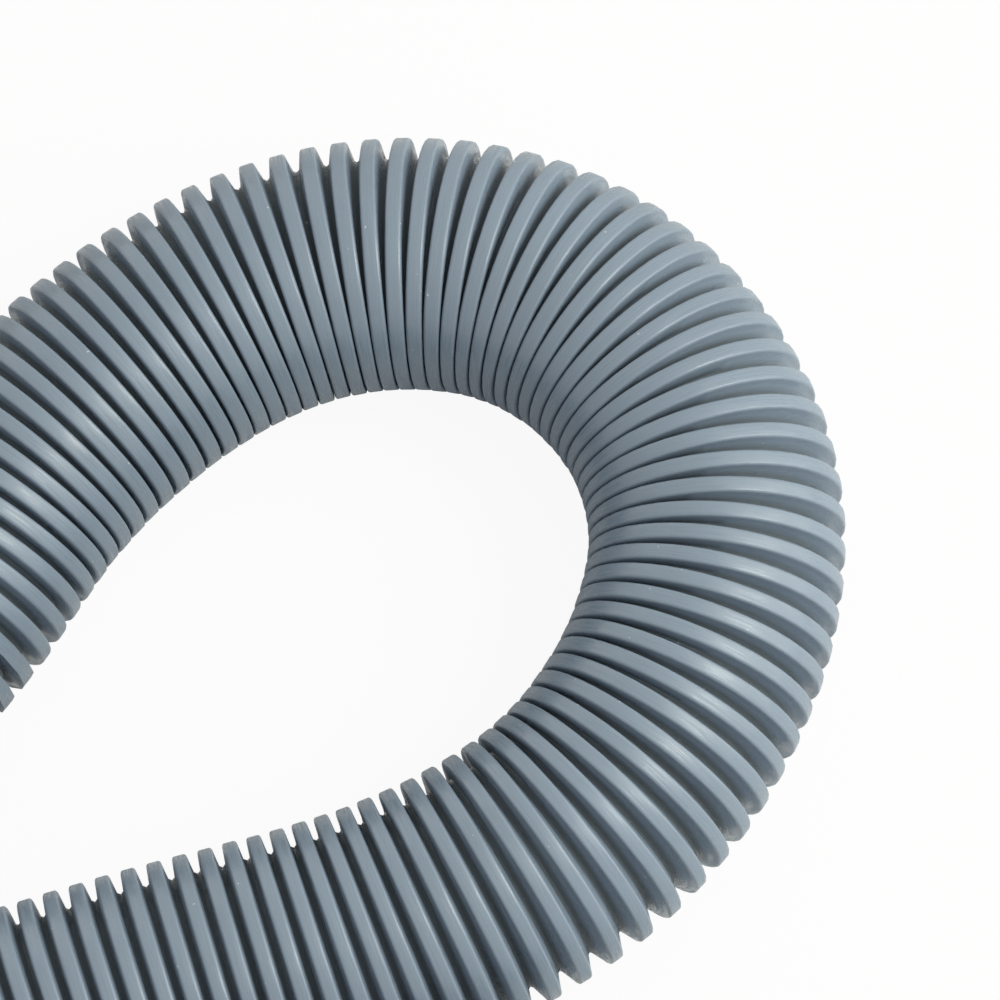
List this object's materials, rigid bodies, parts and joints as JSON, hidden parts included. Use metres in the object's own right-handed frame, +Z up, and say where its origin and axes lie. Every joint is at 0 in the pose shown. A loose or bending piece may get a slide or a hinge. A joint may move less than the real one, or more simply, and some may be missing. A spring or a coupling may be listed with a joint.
{
  "type": "dishwasher drain hose extension",
  "caption": "Corrugated blown-plastic drain hose with a soft push-on cuff at each end, laid flat in a tied storage coil with one bight standing out.",
  "frame": {"origin": "on the floor, under the middle of the object's box as it lies coiled", "axes": "+Z up, out of the floor that the hose lies on; +Y along the longest side of the coil, towards the bight that stands out past it; +X to the right, the bight's side"},
  "size_m": [0.3339, 0.3729, 0.0331],
  "materials": {
    "hose_plastic": "satin slate-grey blown polypropylene",
    "cuff_plastic": "matt dark slate soft moulding",
    "tie_plastic": "natural white nylon"
  },
  "bodies": {
    "root": {"hose": "hose_plastic", "machine_end_cuff": "cuff_plastic", "drain_end_cuff": "cuff_plastic", "side_coil_tie": "tie_plastic", "top_coil_tie": "tie_plastic"}
  },
  "joints": []
}
